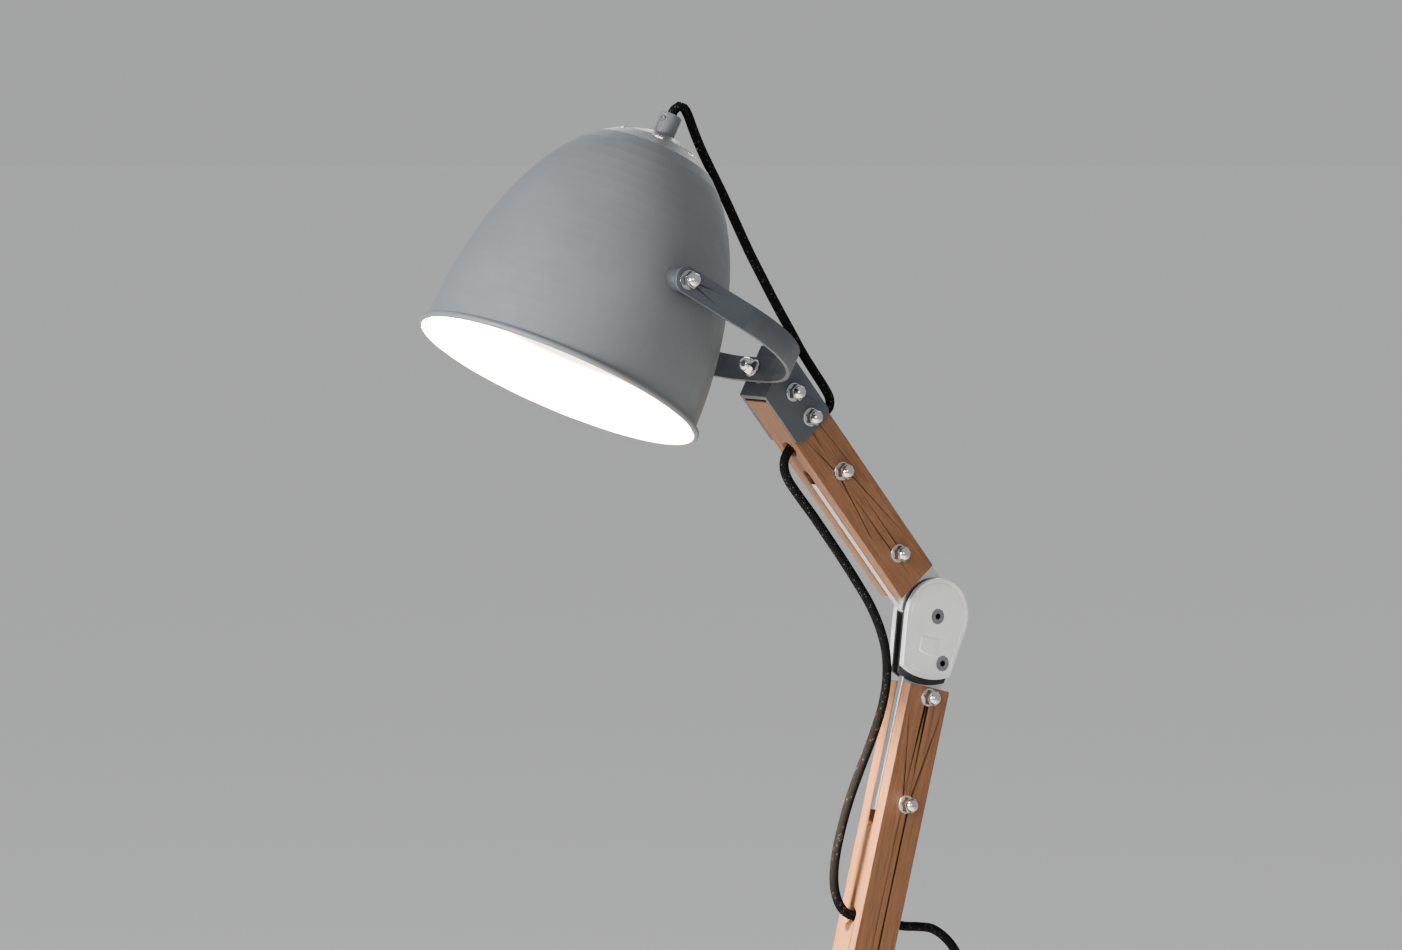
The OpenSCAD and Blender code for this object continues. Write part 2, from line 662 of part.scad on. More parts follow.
module lampholder_cap() {
  color("#e9e7e2") at_shade() difference() {
    translate([0, 0, holder_top - 26]) cylinder(h = 26, r = 19);
    translate([0, 0, holder_top - 27]) cylinder(h = 25, r = 17);
    translate([0, 0, holder_top - 5]) cylinder(h = 10, r = 5 + run_gap);
  }
}
module lampholder_shell() {
  color("#e9e7e2") at_shade() difference() {
    translate([0, 0, holder_top - 58]) cylinder(h = 32, r = 20);
    translate([0, 0, holder_top - 59]) cylinder(h = 40, r = 15);
  }
}
module lampholder_insert() {
  color("#f2efe8") at_shade() difference() {
    translate([0, 0, holder_top - 26]) cylinder(h = 10, r = 16.5);
    for (s = [-1, 1]) translate([s * 8, 0, holder_top - 27]) cylinder(h = 12, r = 2);
  }
}
module bulb_cap() {
  color("#c6c8ca") at_shade() translate([0, 0, holder_top - 58]) {
    cylinder(h = 26, r = 13.2);
    translate([0, 0, 26]) cylinder(h = 5, r1 = 9, r2 = 4);
  }
}
module bulb_glass() {
  color("#fff6e0") at_shade() translate([0, 0, holder_top - 58]) rotate_extrude($fn = 96) difference() {
    union() {
      translate([0, -46]) circle(r = 30, $fn = 96);
      polygon([[0, 0], [13.5, 0], [15, -8], [27, -33], [0, -40]]);
    }
    translate([-40, -100]) square([40, 200]);
  }
}

// Cord
function from_elbow(p) = len(p) == 2
  ? [elbow_x + p[0], 0, elbow_z + p[1]]
  : [elbow_x + p[0], p[1], elbow_z + p[2]];
module cord_shade() { color("#151515") tube([for (p = route_shade) from_elbow(p)], cord_d / 2); }
module cord_head() { color("#151515") tube([for (p = route_head) from_elbow(p)], cord_d / 2); }
module cord_elbow() { color("#151515") tube([for (p = route_elbow) from_elbow(p)], cord_d / 2); }
module cord_drop() { color("#151515") tube([for (p = route_drop) from_elbow(p)], cord_d / 2); }
module at_switch() { translate([switch_at[0], switch_at[1], 0]) rotate([0, 0, switch_turn]) children(); }
module cord_tail() {
  far = switch_len / 2 + relief_len;
  color("#151515") tube([for (p = [[far + 0.1, 0, 9.5], [far + 5, 0, 9.5], [far + 14, 0, 7.7],
    [far + 24, 0, 5], [far + 36, 0, 3.4], [far + 57, 0, 3.3]])
      [switch_at[0] + p[0] * cos(switch_turn) - p[1] * sin(switch_turn),
       switch_at[1] + p[0] * sin(switch_turn) + p[1] * cos(switch_turn), p[2]]], cord_d / 2, 10, [1, 1, 0]);
}
module cord_coil() {
  color("#151515") translate([coil_at[0], coil_at[1], 0]) rotate_extrude($fn = 96)
    translate([coil_in, 0.05]) square([coil_out - coil_in, coil_h]);
}
module at_plug() { translate([plug_at[0], plug_at[1], plug_t / 2]) rotate([0, 0, plug_turn]) children(); }
module cord_end() {
  out = [-cos(plug_turn), -sin(plug_turn)];
  tip = plug_len / 2 + plug_relief_len;
  color("#151515") tube([[74.6, 221.9, 9.9], [67.5, 220.9, 9], [62, 220, 7.6],
    [plug_at[0] + (tip + 8) * out[0], plug_at[1] + (tip + 8) * out[1], plug_t / 2],
    [plug_at[0] + (tip + 0.1) * out[0], plug_at[1] + (tip + 0.1) * out[1], plug_t / 2]],
    cord_d / 2, 10, [0, 1, 0]);
}

// Foot switch
module pill(l, w, h) {
  linear_extrude(h) {
    translate([-(l - w) / 2, -w / 2]) square([l - w, w]);
    for (s = [-1, 1]) translate([s * (l - w) / 2, 0]) circle(r = w / 2, $fn = 64);
  }
}
module switch_base() {
  color("#1a1a1a") at_switch() difference() {
    pill(switch_len, switch_w, switch_split);
    translate([0, 0, switch_wall]) pill(switch_len - 2 * switch_wall, switch_w - 2 * switch_wall, switch_h);
    translate([0, 0, cord_entry_h]) along_x(-switch_len, 2 * switch_len, relief_r + run_gap);
  }
}
module switch_cover() {
  color("#1a1a1a") at_switch() difference() {
    translate([0, 0, switch_split]) pill(switch_len, switch_w, switch_h - switch_split);
    translate([0, 0, switch_split - cut])
      pill(switch_len - 2 * switch_wall, switch_w - 2 * switch_wall, switch_h - switch_split - switch_wall + cut);
    cylinder(h = 2 * switch_h, r = button_r + loose_gap);
    translate([0, 0, cord_entry_h]) along_x(-switch_len, 2 * switch_len, relief_r + run_gap);
  }
}
module switch_button() {
  color("#2a2a2a") at_switch() {
    translate([0, 0, switch_h - 5]) cylinder(h = 8, r = button_r, $fn = 64);
    translate([0, 0, switch_h - 5]) cylinder(h = 2, r = button_r + 2, $fn = 64);
  }
}
module switch_contact_block() {
  color("#b08d57") at_switch() translate([-14, -9, switch_wall]) cube([28, 18, 8]);
}
module relief(r_big, r_small, l) { rotate([0, 90, 0]) cylinder(h = l, r1 = r_big, r2 = r_small); }
module switch_strain_reliefs() {
  color("#141414") at_switch() for (s = [0, 1]) mirror([s, 0, 0])
    translate([switch_len / 2 - relief_root, 0, cord_entry_h]) {
      relief(relief_r, 3.8, relief_len + relief_root);
      along_x(-2.4, 2.4, 6);
    }
}
// Plug
module plug_body() {
  color("#181818") at_plug() difference() {
    intersection() {
      translate([-plug_len / 2, -plug_w / 2, -plug_t / 2]) cube([plug_len, plug_w, plug_t]);
      union() {
        translate([plug_len / 2 - 18, -plug_w / 2, -plug_t / 2]) cube([18, plug_w, plug_t]);
        linear_extrude(plug_t, center = true)
          polygon([[-plug_len / 2, -6], [-plug_len / 2, 6], [0.5, plug_w / 2], [0.5, -plug_w / 2]]);
      }
    }
    for (s = [-1, 1]) translate([0, s * 9.3, 0]) along_x(plug_len / 2 - 8, 20, 2);
  }
}
module plug_pins() {
  color("#d6d6d2") at_plug() for (s = [-1, 1]) translate([0, s * 9.3, 0]) {
    along_x(plug_len / 2 - 8, 26, 2);
    translate([plug_len / 2 + 18, 0, 0]) sphere(r = 2);
  }
}
module plug_strain_relief() {
  color("#141414") at_plug() translate([-plug_len / 2, 0, 0]) mirror([1, 0, 0]) relief(5, 3.8, plug_relief_len);
}

base_pad();
base_weight();
base_cover();
base_post();
base_post_screws();
base_cheek_near();
base_cheek_far();
base_friction_near();
base_friction_far();
base_hinge_screws();
base_hinge_nuts();
lower_arm_wood();
lower_arm_foot_tongue();
lower_arm_head_tongue();
lower_arm_bolts();
lower_arm_nuts();
lower_arm_washers();
elbow_cheek_near();
elbow_cheek_far();
elbow_friction_near();
elbow_friction_far();
elbow_screws();
elbow_nuts();
upper_arm_wood();
upper_arm_tongue();
upper_arm_bolts();
upper_arm_nuts();
upper_arm_washers();
head_bracket();
swivel_bolt();
swivel_washers();
swivel_nut();
yoke_strap();
shade_shell();
shade_spacers();
shade_pivot_screws();
shade_pivot_nuts();
neck_collar();
neck_grub_screw();
neck_nipple();
lampholder_cap();
lampholder_shell();
lampholder_insert();
bulb_cap();
bulb_glass();
cord_shade();
cord_head();
cord_elbow();
cord_drop();
cord_tail();
cord_coil();
cord_end();
switch_base();
switch_cover();
switch_button();
switch_contact_block();
switch_strain_reliefs();
plug_body();
plug_pins();
plug_strain_relief();
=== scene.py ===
"""Looks of an adjustable arm floor lamp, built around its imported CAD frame.

Lengths are metres. +Z is up, the arms lie in the XZ plane and the shade is on the -X side.
"""

import json
import logging
import math
from dataclasses import dataclass, field
from enum import Enum

import bmesh
import bpy
from mathutils import Matrix, Vector

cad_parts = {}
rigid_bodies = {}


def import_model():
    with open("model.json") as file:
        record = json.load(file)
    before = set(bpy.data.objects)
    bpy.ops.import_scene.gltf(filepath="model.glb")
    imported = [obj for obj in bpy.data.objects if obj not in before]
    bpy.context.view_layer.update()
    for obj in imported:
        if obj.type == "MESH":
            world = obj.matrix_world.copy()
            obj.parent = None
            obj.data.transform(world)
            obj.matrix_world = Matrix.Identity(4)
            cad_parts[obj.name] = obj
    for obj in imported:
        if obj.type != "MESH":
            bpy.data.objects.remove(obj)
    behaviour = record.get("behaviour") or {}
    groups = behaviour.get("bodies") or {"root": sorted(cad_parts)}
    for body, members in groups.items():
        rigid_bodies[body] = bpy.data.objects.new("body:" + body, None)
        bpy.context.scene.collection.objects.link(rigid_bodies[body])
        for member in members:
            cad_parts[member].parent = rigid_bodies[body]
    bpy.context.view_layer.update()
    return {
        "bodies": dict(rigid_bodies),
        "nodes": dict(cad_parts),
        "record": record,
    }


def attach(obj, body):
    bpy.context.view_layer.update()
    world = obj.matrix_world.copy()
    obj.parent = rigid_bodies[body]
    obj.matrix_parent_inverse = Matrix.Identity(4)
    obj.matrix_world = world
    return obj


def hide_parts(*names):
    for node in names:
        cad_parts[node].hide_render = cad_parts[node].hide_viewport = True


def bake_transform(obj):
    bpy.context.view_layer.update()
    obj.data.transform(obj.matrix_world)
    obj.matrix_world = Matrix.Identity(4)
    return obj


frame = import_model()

LOG = logging.getLogger("lamp")
MM = 0.001
Socket = bpy.types.NodeSocket
Material = bpy.types.Material
Colour = tuple[float, float, float]
Point = tuple[float, float, float]


class Body(str, Enum):
    """Names of the moving bodies of the lamp."""

    BASE = "base"
    LOWER = "lower_arm"
    UPPER = "upper_arm"
    YOKE = "yoke"
    SHADE = "shade"


class Lay(str, Enum):
    """Ways in which a stretch of the cord lies."""

    LOOSE = "loose"
    HANGING = "hanging"
    COILED = "coiled"


class FarEnd(str, Enum):
    """What a stretch of the cord ends in."""

    OBJECT = "object"
    FITTING = "fitting"
    PLUG = "plug"


def joint_place(name: str) -> Vector:
    """Return the place of a joint's axis at rest.

    Args:
        name: The joint's name in the record.

    Returns:
        The point on its axis, in metres.
    """
    for joint in frame["record"]["behaviour"]["joints"]:
        if joint["name"] == name:
            return Vector(joint["pos_m"])
    raise KeyError(name)


def head_face(node: str) -> float:
    """Return the lowest Y of a CAD node, where its screws' heads end, in metres."""
    obj = frame["nodes"][node]
    return min((obj.matrix_world @ v.co).y for v in obj.data.vertices)


def dimmed(colour: Colour, factor: float, lift: float = 0.0) -> Colour:
    """Return a colour times a factor plus a lift, with no channel above 1."""
    return tuple(min(1.0, c * factor + lift) for c in colour)


ELBOW = joint_place("elbow_hinge")
TILT = joint_place("shade_tilt")
LOWER_LEAN = math.radians(14.7)
UPPER_LEAN = math.radians(-39.1)
SHADE_LEAN = math.radians(27.3)
SHADE_UP = Vector((math.sin(SHADE_LEAN), 0.0, math.cos(SHADE_LEAN)))
PIVOT_HEIGHT = 76 * MM


class Graph:
    """A material's node tree, with short ways to add nodes and link them."""

    def __init__(self, name: str) -> None:
        """Start an empty material.

        Args:
            name: The material's name.
        """
        self.material = bpy.data.materials.new(name)
        self.material.use_nodes = True
        self.tree = self.material.node_tree
        self.tree.nodes.clear()
        self.place = self.add("ShaderNodeTexCoord").outputs["Object"]

    def add(self, kind: str, settings: dict | None = None,
            inputs: dict | None = None) -> bpy.types.Node:
        """Add one node.

        Args:
            kind: The node's type.
            settings: Its own properties.
            inputs: Its sockets by name or number, each a value or an output to link.

        Returns:
            The new node.
        """
        node = self.tree.nodes.new(kind)
        for key, value in (settings or {}).items():
            setattr(node, key, value)
        for key, value in (inputs or {}).items():
            if isinstance(value, Socket):
                self.tree.links.new(value, node.inputs[key])
            else:
                node.inputs[key].default_value = value
        return node

    def math(self, operation: str, a: Socket | float, b: Socket | float = 0.0) -> Socket:
        """Return the result of a Math node on a and b."""
        return self.add("ShaderNodeMath", {"operation": operation}, {0: a, 1: b}).outputs[0]

    def noise(self, scale: float, detail: float = 4.0, vector: Socket | None = None,
              rough: float = 0.55) -> Socket:
        """Return a noise value.

        Args:
            scale: Features in a metre.
            detail: Octaves.
            vector: Coordinates, or the object's own.
            rough: How strong the small octaves are.

        Returns:
            The noise's value output.
        """
        inputs = {"Vector": vector or self.place, "Scale": scale, "Detail": detail,
                  "Roughness": rough}
        return self.add("ShaderNodeTexNoise", None, inputs).outputs["Fac"]

    def spread(self, value: Socket, low: float, high: float, start: float = 0.3,
               end: float = 0.7) -> Socket:
        """Return value mapped from start and end to low and high."""
        inputs = {"Value": value, "From Min": start, "From Max": end, "To Min": low,
                  "To Max": high}
        return self.add("ShaderNodeMapRange", None, inputs).outputs["Result"]

    def mix(self, factor: Socket, a: Colour | Socket, b: Colour | Socket) -> Socket:
        """Return a colour between a and b."""
        fixed = [c if isinstance(c, Socket) else (*c, 1.0) for c in (a, b)]
        inputs = {0: factor, 6: fixed[0], 7: fixed[1]}
        return self.add("ShaderNodeMix", {"data_type": "RGBA"}, inputs).outputs[2]

    def turned(self, angle: float, scale: Point = (1.0, 1.0, 1.0)) -> Socket:
        """Return object coordinates turned about Y by angle, then scaled."""
        turn = self.add("ShaderNodeMapping", None,
                        {"Vector": self.place, "Rotation": (0.0, angle, 0.0)})
        stretch = self.add("ShaderNodeMapping", None,
                           {"Vector": turn.outputs[0], "Scale": scale})
        return stretch.outputs[0]

    def bump(self, height: Socket, distance: float, strength: float = 1.0) -> Socket:
        """Return a bumped normal from a height, with its distance in metres."""
        inputs = {"Height": height, "Distance": distance, "Strength": strength}
        return self.add("ShaderNodeBump", None, inputs).outputs[0]

    def surface(self, inputs: dict) -> Material:
        """Close the tree with a Principled shader.

        Args:
            inputs: The shader's sockets.

        Returns:
            The finished material.
        """
        shader = self.add("ShaderNodeBsdfPrincipled", None, inputs)
        output = self.add("ShaderNodeOutputMaterial")
        self.tree.links.new(shader.outputs[0], output.inputs["Surface"])
        return self.material


@dataclass(frozen=True)
class Paint:
    """Powder paint with a fine orange peel, dust and faint scuffs."""

    name: str
    colour: Colour
    roughness: float = 0.5
    grain: float = 900.0
    cloud_scale: float = 18.0
    scuff_scale: float = 240.0
    peel_depth: float = 0.06 * MM

    def material(self) -> Material:
        """Return the paint's material."""
        g = Graph(self.name)
        light = dimmed(self.colour, 1.22, 0.01)
        dark = dimmed(self.colour, 0.84)
        cloud = g.spread(g.noise(self.cloud_scale, 5.0), 0.0, 1.0)
        scuffs = g.spread(g.noise(self.scuff_scale, 8.0, rough=0.75), 0.0, 0.55, 0.6, 0.78)
        coat = g.mix(scuffs, g.mix(cloud, dark, self.colour), light)
        small = g.math("MULTIPLY", g.noise(self.grain * 4, 2.0), 0.5)
        peel = g.math("ADD", g.noise(self.grain, 3.0), small)
        rough = g.spread(g.noise(60.0, 6.0), self.roughness - 0.07, self.roughness + 0.1)
        return g.surface({"Base Color": coat, "Roughness": rough,
                          "Normal": g.bump(peel, self.peel_depth, 0.5)})


@dataclass(frozen=True)
class ShadePaint:
    """Grey paint outside the shade and white paint inside it."""

    name: str
    outside: Colour
    inside: Colour
    centre_below_axis: float = PIVOT_HEIGHT * 0.6
    cloud_scale: float = 14.0
    dust_scale: float = 420.0
    peel_scale: float = 1100.0
    peel_depth: float = 0.06 * MM

    def outward(self, g: Graph) -> Socket:
        """Return 1 where the surface faces away from the middle of the shade, else 0.

        Args:
            g: The material's graph.

        Returns:
            The test's output.
        """
        centre = tuple(TILT - SHADE_UP * self.centre_below_axis)
        away = g.add("ShaderNodeVectorMath", {"operation": "SUBTRACT"}, {0: g.place, 1: centre})
        normal = g.add("ShaderNodeTexCoord").outputs["Normal"]
        facing = g.add("ShaderNodeVectorMath", {"operation": "DOT_PRODUCT"},
                       {0: away.outputs[0], 1: normal})
        return g.math("GREATER_THAN", facing.outputs["Value"], 0.0)

    def material(self) -> Material:
        """Return the two-sided material of the shade."""
        g = Graph(self.name)
        cloud = g.spread(g.noise(self.cloud_scale, 5.0), 0.0, 1.0)
        dust = g.spread(g.noise(self.dust_scale, 7.0, rough=0.7), 0.0, 0.35, 0.58, 0.8)
        clouded = g.mix(cloud, dimmed(self.outside, 0.86), self.outside)
        grey = g.mix(dust, clouded, dimmed(self.outside, 1.35))
        white = g.mix(cloud, dimmed(self.inside, 0.94), self.inside)
        rough = g.spread(g.noise(70.0, 6.0), 0.40, 0.56)
        peel = g.bump(g.noise(self.peel_scale, 4.0), self.peel_depth, 0.45)
        return g.surface({"Base Color": g.mix(self.outward(g), white, grey),
                          "Roughness": rough, "Normal": peel})


@dataclass(frozen=True)
class Wood:
    """Straight-grained brown wood under a thin satin oil, its grain along the arm."""

    name: str
    lean: float
    pale: Colour = (0.196, 0.091, 0.043)
    dark: Colour = (0.126, 0.057, 0.028)
    band_scale: float = 110.0
    broad_scale: float = 330.0
    fibre_scale: float = 900.0
    pore_scale: float = 1500.0
    grain_stretch: float = 0.045
    pore_stretch: float = 0.03
    band_share: float = 0.14
    relief_depth: float = 0.12 * MM

    def material(self) -> Material:
        """Return the wood's material, with the grain along the arm's lean."""
        g = Graph(self.name)
        along = g.turned(-self.lean, (1.0, 1.0, self.grain_stretch))
        diagonal = {"wave_type": "BANDS", "bands_direction": "DIAGONAL"}
        bands = g.add("ShaderNodeTexWave", diagonal, {
            "Vector": along, "Scale": self.band_scale, "Distortion": 1.6, "Detail": 4.0,
            "Detail Scale": 1.6, "Detail Roughness": 0.6})
        fibre = g.noise(self.fibre_scale, 6.0, along, 0.7)
        broad = g.noise(self.broad_scale, 5.0, along)
        tone = g.math("ADD", g.math("MULTIPLY", bands.outputs["Fac"], self.band_share),
                      g.math("MULTIPLY", broad, 1.0 - self.band_share))
        colour = g.mix(g.spread(tone, 0.0, 1.0, 0.25, 0.75), self.dark, self.pale)
        across = g.turned(-self.lean, (1.0, 1.0, self.pore_stretch))
        pores = g.spread(g.noise(self.pore_scale, 3.0, across), 0.0, 0.75, 0.56, 0.68)
        colour = g.mix(g.spread(fibre, 0.0, 0.35), colour, dimmed(self.pale, 1.25))
        colour = g.mix(pores, colour, dimmed(self.dark, 0.55))
        relief = g.math("SUBTRACT", g.math("MULTIPLY", fibre, 0.5), pores)
        return g.surface({"Base Color": colour, "Roughness": g.spread(fibre, 0.36, 0.58),
                          "Normal": g.bump(relief, self.relief_depth, 0.6),
                          "Specular IOR Level": 0.22})


@dataclass(frozen=True)
class Metal:
    """Bare metal: brushed, satin or polished, with smudges."""

    name: str
    colour: Colour
    roughness: float
    brushed: float = 0.0
    lean: float = 0.0
    metallic: float = 1.0
    streak_scale: float = 2600.0
    streak_stretch: float = 0.02
    streak_depth: float = 0.02 * MM
    smudge_scale: float = 85.0

    def material(self) -> Material:
        """Return the metal's material."""
        g = Graph(self.name)
        along = g.turned(-self.lean, (1.0, 1.0, self.streak_stretch))
        streaks = g.noise(self.streak_scale, 3.0, along, 0.6)
        smudge = g.noise(self.smudge_scale, 6.0, rough=0.65)
        mixed = g.math("ADD", g.math("MULTIPLY", streaks, self.brushed),
                       g.math("MULTIPLY", smudge, 1.0 - self.brushed))
        rough = g.spread(mixed, self.roughness * 0.75, self.roughness * 1.45 + 0.02)
        colour = g.mix(g.spread(mixed, 0.0, 1.0), dimmed(self.colour, 0.88), self.colour)
        normal = g.bump(streaks, self.streak_depth, 0.15 + 0.5 * self.brushed)
        return g.surface({"Base Color": colour, "Metallic": self.metallic, "Roughness": rough,
                          "Normal": normal})


@dataclass(frozen=True)
class SocketScrew:
    """Steel screw whose socket is painted as shade: all that lies behind the head's face plane is
    painted near black, as the shade in the recess.
    """

    name: str
    colour: Colour
    face: float
    step: float = 0.25 * MM
    # Near-black painted shade of the socket's recess.
    painted_socket_shade: Colour = (0.012, 0.012, 0.013)

    def material(self) -> Material:
        """Return the screw's material."""
        g = Graph(self.name)
        across = g.add("ShaderNodeSeparateXYZ", None, {0: g.place}).outputs[1]
        # Painted shade: every point deeper than the head's face, inside the socket, gets the
        # near-black shade colour.
        socket_shade_mask = g.math("GREATER_THAN", across, self.face + self.step)
        smudge = g.noise(160.0, 5.0)
        colour = g.mix(g.spread(smudge, 0.0, 1.0), dimmed(self.colour, 0.8), self.colour)
        return g.surface({"Base Color": g.mix(socket_shade_mask, colour, self.painted_socket_shade),
                          "Roughness": g.spread(smudge, 0.18, 0.34), "Metallic": 1.0,
                          "Normal": g.bump(g.noise(2400.0, 3.0), 0.02 * MM, 0.4)})


@dataclass(frozen=True)
class Moulded:
    """Moulded plastic, rubber, fibre or cast skin, by its grain and its roughness."""

    name: str
    colour: Colour
    roughness: float
    grain: float = 1400.0
    depth: float = 0.08 * MM
    gloss: float = 0.5
    wear_scale: float = 120.0

    def material(self) -> Material:
        """Return the moulded material."""
        g = Graph(self.name)
        fine = g.noise(self.grain, 4.0)
        wear = g.spread(g.noise(self.wear_scale, 7.0, rough=0.7), 0.0, 0.4, 0.55, 0.8)
        colour = g.mix(wear, self.colour, dimmed(self.colour, 1.6, 0.003))
        rough = g.spread(g.noise(90.0, 5.0), self.roughness - 0.08, self.roughness + 0.12)
        return g.surface({"Base Color": colour, "Roughness": rough,
                          "Specular IOR Level": self.gloss,
                          "Normal": g.bump(fine, self.depth, 0.6)})


@dataclass(frozen=True)
class Glow:
    """Opal glass of the lit bulb."""

    name: str
    colour: Colour
    strength: float

    def material(self) -> Material:
        """Return the glowing glass."""
        g = Graph(self.name)
        cloud = g.spread(g.noise(40.0, 2.0), 0.0, 1.0)
        tint = g.mix(cloud, self.colour, dimmed(self.colour, 0.95))
        return g.surface({"Base Color": tint, "Roughness": 0.25, "Emission Color": tint,
                          "Emission Strength": self.strength})


@dataclass(frozen=True)
class Braid:
    """Braided textile sleeve: crossing strands, a few of them pale, from the cord's own UV map."""

    name: str
    strands: float = 8.0
    pitch: float = 420.0
    # Painted shade of the grooves between strands.
    painted_groove_shade: Colour = (0.002, 0.002, 0.002)
    crest: Colour = (0.010, 0.010, 0.011)
    pale: Colour = (0.05, 0.05, 0.05)
    depth: float = 0.3 * MM
    plain_share: float = 0.9
    fleck_height: float = 0.45
    thread_scale: float = 5200.0

    def material(self) -> Material:
        """Return the braid; U goes round the cord once and V is its length in metres."""
        g = Graph(self.name)
        uv = g.add("ShaderNodeUVMap", {"uv_map": "braid"}).outputs[0]
        split = g.add("ShaderNodeSeparateXYZ", None, {0: uv})
        around = g.math("MULTIPLY", split.outputs[0], self.strands)
        along = g.math("MULTIPLY", split.outputs[1], self.pitch)
        ways = [g.math(operation, around, along) for operation in ("ADD", "SUBTRACT")]
        waves = [g.math("ABSOLUTE", g.math("SINE", g.math("MULTIPLY", way, math.pi)))
                 for way in ways]
        height = g.math("MULTIPLY", *waves)
        floors = [g.math("FLOOR", way) for way in ways]
        cell = g.add("ShaderNodeCombineXYZ", None, dict(enumerate(floors))).outputs[0]
        random = g.add("ShaderNodeTexWhiteNoise", {"noise_dimensions": "2D"}, {"Vector": cell})
        chosen = g.math("GREATER_THAN", random.outputs["Value"], self.plain_share)
        crossing = g.math("GREATER_THAN", height, self.fleck_height)
        fleck = g.math("MULTIPLY", chosen, crossing)
        thread = g.spread(g.noise(self.thread_scale, 2.0), 0.6, 1.0)
        # Painted shade: the weave is darkest where its height is low, in the grooves between
        # strands, and lightest on the crests.
        base = g.mix(g.spread(height, 0.0, 1.0, 0.05, 0.8), self.painted_groove_shade, self.crest)
        colour = g.mix(g.math("MULTIPLY", fleck, thread), base, self.pale)
        return g.surface({"Base Color": colour, "Roughness": 0.95, "Specular IOR Level": 0.04,
                          "Normal": g.bump(height, self.depth, 0.8)})


class Maker:
    """Short ways to make meshes into placed and dressed pieces."""

    WELD = 0.005 * MM
    SHARP = math.radians(40)

    @staticmethod
    def piece(name: str, bm: bmesh.types.BMesh, material: Material,
              smooth: bool = True) -> bpy.types.Object:
        """Make an object of a bmesh, at the origin.

        Args:
            name: The piece's name.
            bm: Its shape, which is freed.
            material: Its material.
            smooth: Whether its faces are shaded smooth.

        Returns:
            The new object.
        """
        bmesh.ops.recalc_face_normals(bm, faces=bm.faces)
        mesh = bpy.data.meshes.new(name)
        bm.to_mesh(mesh)
        bm.free()
        mesh.materials.append(material)
        if smooth:
            mesh.shade_smooth()
        else:
            mesh.shade_flat()
        obj = bpy.data.objects.new(name, mesh)
        bpy.context.scene.collection.objects.link(obj)
        return obj

    @classmethod
    def dress(cls, node: str, material: Material, edge: float = 0.0) -> None:
        """Give a CAD node its material and, where edge isn't 0, softly rounded edges.

        Args:
            node: The CAD node's name.
            material: Its new material.
            edge: The rounding's width in metres.
        """
        obj = frame["nodes"][node]
        if not obj.material_slots:
            obj.data.materials.append(material)
        for place in obj.material_slots:
            place.link = "OBJECT"
            place.material = material
        if edge:
            weld = obj.modifiers.new("join", "WELD")
            weld.merge_threshold = cls.WELD
            bevel = obj.modifiers.new("edge", "BEVEL")
            bevel.width = edge
            bevel.segments = 2
            bevel.limit_method = "ANGLE"
            bevel.angle_limit = cls.SHARP
            bevel.harden_normals = True


@dataclass
class Camera:
    """The camera, placed from the elbow's axis."""

    lens: float = 119.76
    azimuth: float = -33.9
    elevation: float = 4.35
    from_elbow: Point = (-1.9397, -2.5991, 0.3447)
    sensor: float = 36.0
    reach: float = 400.0

    def back(self) -> Vector:
        """Return the unit vector from the scene towards the camera."""
        az, el = math.radians(self.azimuth), math.radians(self.elevation)
        level = math.cos(el)
        return Vector((math.sin(az) * level, -math.cos(az) * level, math.sin(el)))

    def build(self) -> None:
        """Place the camera and make it the scene's own."""
        data = bpy.data.cameras.new("camera")
        data.lens = self.lens
        data.sensor_width = self.sensor
        data.clip_end = self.reach
        camera = bpy.data.objects.new("camera", data)
        camera.rotation_mode = "QUATERNION"
        camera.rotation_quaternion = self.back().to_track_quat("Z", "Y")
        camera.location = ELBOW + Vector(self.from_elbow)
        bpy.context.scene.collection.objects.link(camera)
        bpy.context.scene.camera = camera


@dataclass(frozen=True)
class SoftLight:
    """One soft square light: its place and side in metres, power in watts, and colour."""

    name: str
    place: Point
    size: float
    power: float
    colour: Colour

    def build(self, aim: Point) -> bpy.types.Object:
        """Add the light.

        Args:
            aim: The point that it shines at.

        Returns:
            The light.
        """
        data = bpy.data.lights.new(self.name, "AREA")
        data.energy, data.size, data.color = self.power, self.size, self.colour
        light = bpy.data.objects.new(self.name, data)
        light.location = self.place
        light.rotation_mode = "QUATERNION"
        back = Vector(self.place) - Vector(aim)
        light.rotation_quaternion = back.to_track_quat("Z", "Y")
        bpy.context.scene.collection.objects.link(light)
        return light


